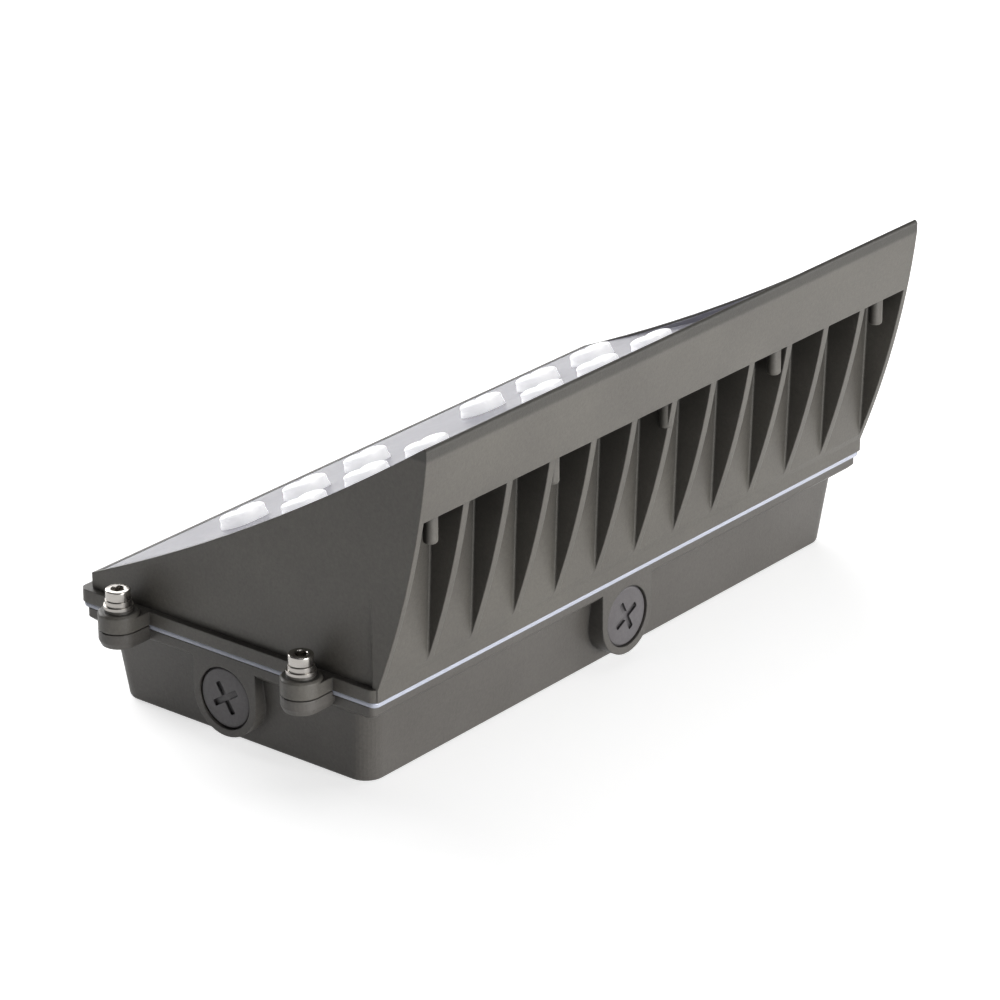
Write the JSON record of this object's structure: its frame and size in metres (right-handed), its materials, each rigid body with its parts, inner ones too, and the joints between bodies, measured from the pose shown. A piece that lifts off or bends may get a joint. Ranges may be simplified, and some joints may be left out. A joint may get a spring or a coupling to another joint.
{
  "type": "wall pack light",
  "caption": "Wedge-shaped outdoor wall light with a finned cast front, a tilted lens face and a shallow wall box with plugged conduit entries.",
  "frame": {"origin": "centre of the face that meets the wall", "axes": "+Z out of the wall, +X along the light, -Y the finned side, +Y the low edge of the lens"},
  "size_m": [0.298, 0.1511, 0.1275],
  "materials": {
    "box_paint": "fine-texture dark bronze powder coat",
    "front_paint": "fine-texture dark bronze powder coat",
    "plug_paint": "satin dark bronze",
    "silicone": "smooth silicone, slightly glossy",
    "black_rubber": "matte",
    "plate_grey": "satin",
    "lens_white": "translucent, glossy",
    "board_white": "matte",
    "chip_yellow": "satin",
    "steel": "bright",
    "washer_steel": "bright",
    "bare_metal": "satin",
    "ground_green": "satin green"
  },
  "bodies": {
    "wall_box": {"back_box": "box_paint", "ground_screw": "ground_green"},
    "front": {"front_housing": "front_paint", "cover_gasket": "silicone", "lens_gasket": "black_rubber", "lens_plate": "plate_grey", "lens_screws": "steel", "lenses_left": "lens_white", "lenses_right": "lens_white", "lamp_board_left": "board_white", "lamp_board_right": "board_white", "lamp_chips_left": "chip_yellow", "lamp_chips_right": "chip_yellow", "board_screws": "steel", "driver_bracket": "bare_metal", "driver_case": "bare_metal", "driver_screws": "steel"},
    "washers_left_low": {"spring_washer_left_low": "washer_steel", "flat_washer_left_low": "washer_steel"},
    "screw_left_low": {"cover_screw_left_low": "steel"},
    "washers_left_fin": {"spring_washer_left_fin": "washer_steel", "flat_washer_left_fin": "washer_steel"},
    "screw_left_fin": {"cover_screw_left_fin": "steel"},
    "washers_right_low": {"spring_washer_right_low": "washer_steel", "flat_washer_right_low": "washer_steel"},
    "screw_right_low": {"cover_screw_right_low": "steel"},
    "washers_right_fin": {"spring_washer_right_fin": "washer_steel", "flat_washer_right_fin": "washer_steel"},
    "screw_right_fin": {"cover_screw_right_fin": "steel"},
    "ring_left": {"plug_ring_left": "black_rubber"},
    "plug_left": {"conduit_plug_left": "plug_paint"},
    "ring_right": {"plug_ring_right": "black_rubber"},
    "plug_right": {"conduit_plug_right": "plug_paint"},
    "ring_side": {"plug_ring_side": "black_rubber"},
    "plug_side": {"conduit_plug_side": "plug_paint"}
  },
  "joints": [
    {"name": "front_lift", "type": "slide", "parent": "wall_box", "child": "front", "axis": [0, 0, 1], "range_m": [0, 0.06]},
    {"name": "screw_rise_left_low", "type": "slide", "parent": "front", "child": "washers_left_low", "axis": [0, 0, 1], "range_m": [0, 0.0072]},
    {"name": "screw_turn_left_low", "type": "hinge", "parent": "washers_left_low", "child": "screw_left_low", "pos_m": [-0.142, 0.04, 0.045], "axis": [0, 0, 1], "range_deg": [0, 3250]},
    {"name": "screw_rise_left_fin", "type": "slide", "parent": "front", "child": "washers_left_fin", "axis": [0, 0, 1], "range_m": [0, 0.0072]},
    {"name": "screw_turn_left_fin", "type": "hinge", "parent": "washers_left_fin", "child": "screw_left_fin", "pos_m": [-0.142, -0.04, 0.045], "axis": [0, 0, 1], "range_deg": [0, 3250]},
    {"name": "screw_rise_right_low", "type": "slide", "parent": "front", "child": "washers_right_low", "axis": [0, 0, 1], "range_m": [0, 0.0072]},
    {"name": "screw_turn_right_low", "type": "hinge", "parent": "washers_right_low", "child": "screw_right_low", "pos_m": [0.142, 0.04, 0.045], "axis": [0, 0, 1], "range_deg": [0, 3250]},
    {"name": "screw_rise_right_fin", "type": "slide", "parent": "front", "child": "washers_right_fin", "axis": [0, 0, 1], "range_m": [0, 0.0072]},
    {"name": "screw_turn_right_fin", "type": "hinge", "parent": "washers_right_fin", "child": "screw_right_fin", "pos_m": [0.142, -0.04, 0.045], "axis": [0, 0, 1], "range_deg": [0, 3250]},
    {"name": "plug_out_left", "type": "slide", "parent": "wall_box", "child": "ring_left", "axis": [-1, 0, 0], "range_m": [0, 0.0128]},
    {"name": "plug_turn_left", "type": "hinge", "parent": "ring_left", "child": "plug_left", "pos_m": [-0.134, 0.0012, 0.0172], "axis": [-1, 0, 0], "range_deg": [0, 2520]},
    {"name": "plug_out_right", "type": "slide", "parent": "wall_box", "child": "ring_right", "axis": [1, 0, 0], "range_m": [0, 0.0128]},
    {"name": "plug_turn_right", "type": "hinge", "parent": "ring_right", "child": "plug_right", "pos_m": [0.134, 0.0012, 0.0172], "axis": [1, 0, 0], "range_deg": [0, 2520]},
    {"name": "plug_out_side", "type": "slide", "parent": "wall_box", "child": "ring_side", "axis": [0, -1, 0], "range_m": [0, 0.0128]},
    {"name": "plug_turn_side", "type": "hinge", "parent": "ring_side", "child": "plug_side", "pos_m": [-0.001, -0.0629, 0.0172], "axis": [0, -1, 0], "range_deg": [0, 2520]}
  ],
  "couplings": [
    {"joint": "screw_turn_left_low", "follows": "screw_rise_left_low", "rad_per_m": 7854},
    {"joint": "screw_turn_left_fin", "follows": "screw_rise_left_fin", "rad_per_m": 7854},
    {"joint": "screw_turn_right_low", "follows": "screw_rise_right_low", "rad_per_m": 7854},
    {"joint": "screw_turn_right_fin", "follows": "screw_rise_right_fin", "rad_per_m": 7854},
    {"joint": "plug_out_left", "follows": "plug_turn_left", "m_per_rad": 0.00028871},
    {"joint": "plug_out_right", "follows": "plug_turn_right", "m_per_rad": 0.00028871},
    {"joint": "plug_out_side", "follows": "plug_turn_side", "m_per_rad": 0.00028871}
  ]
}
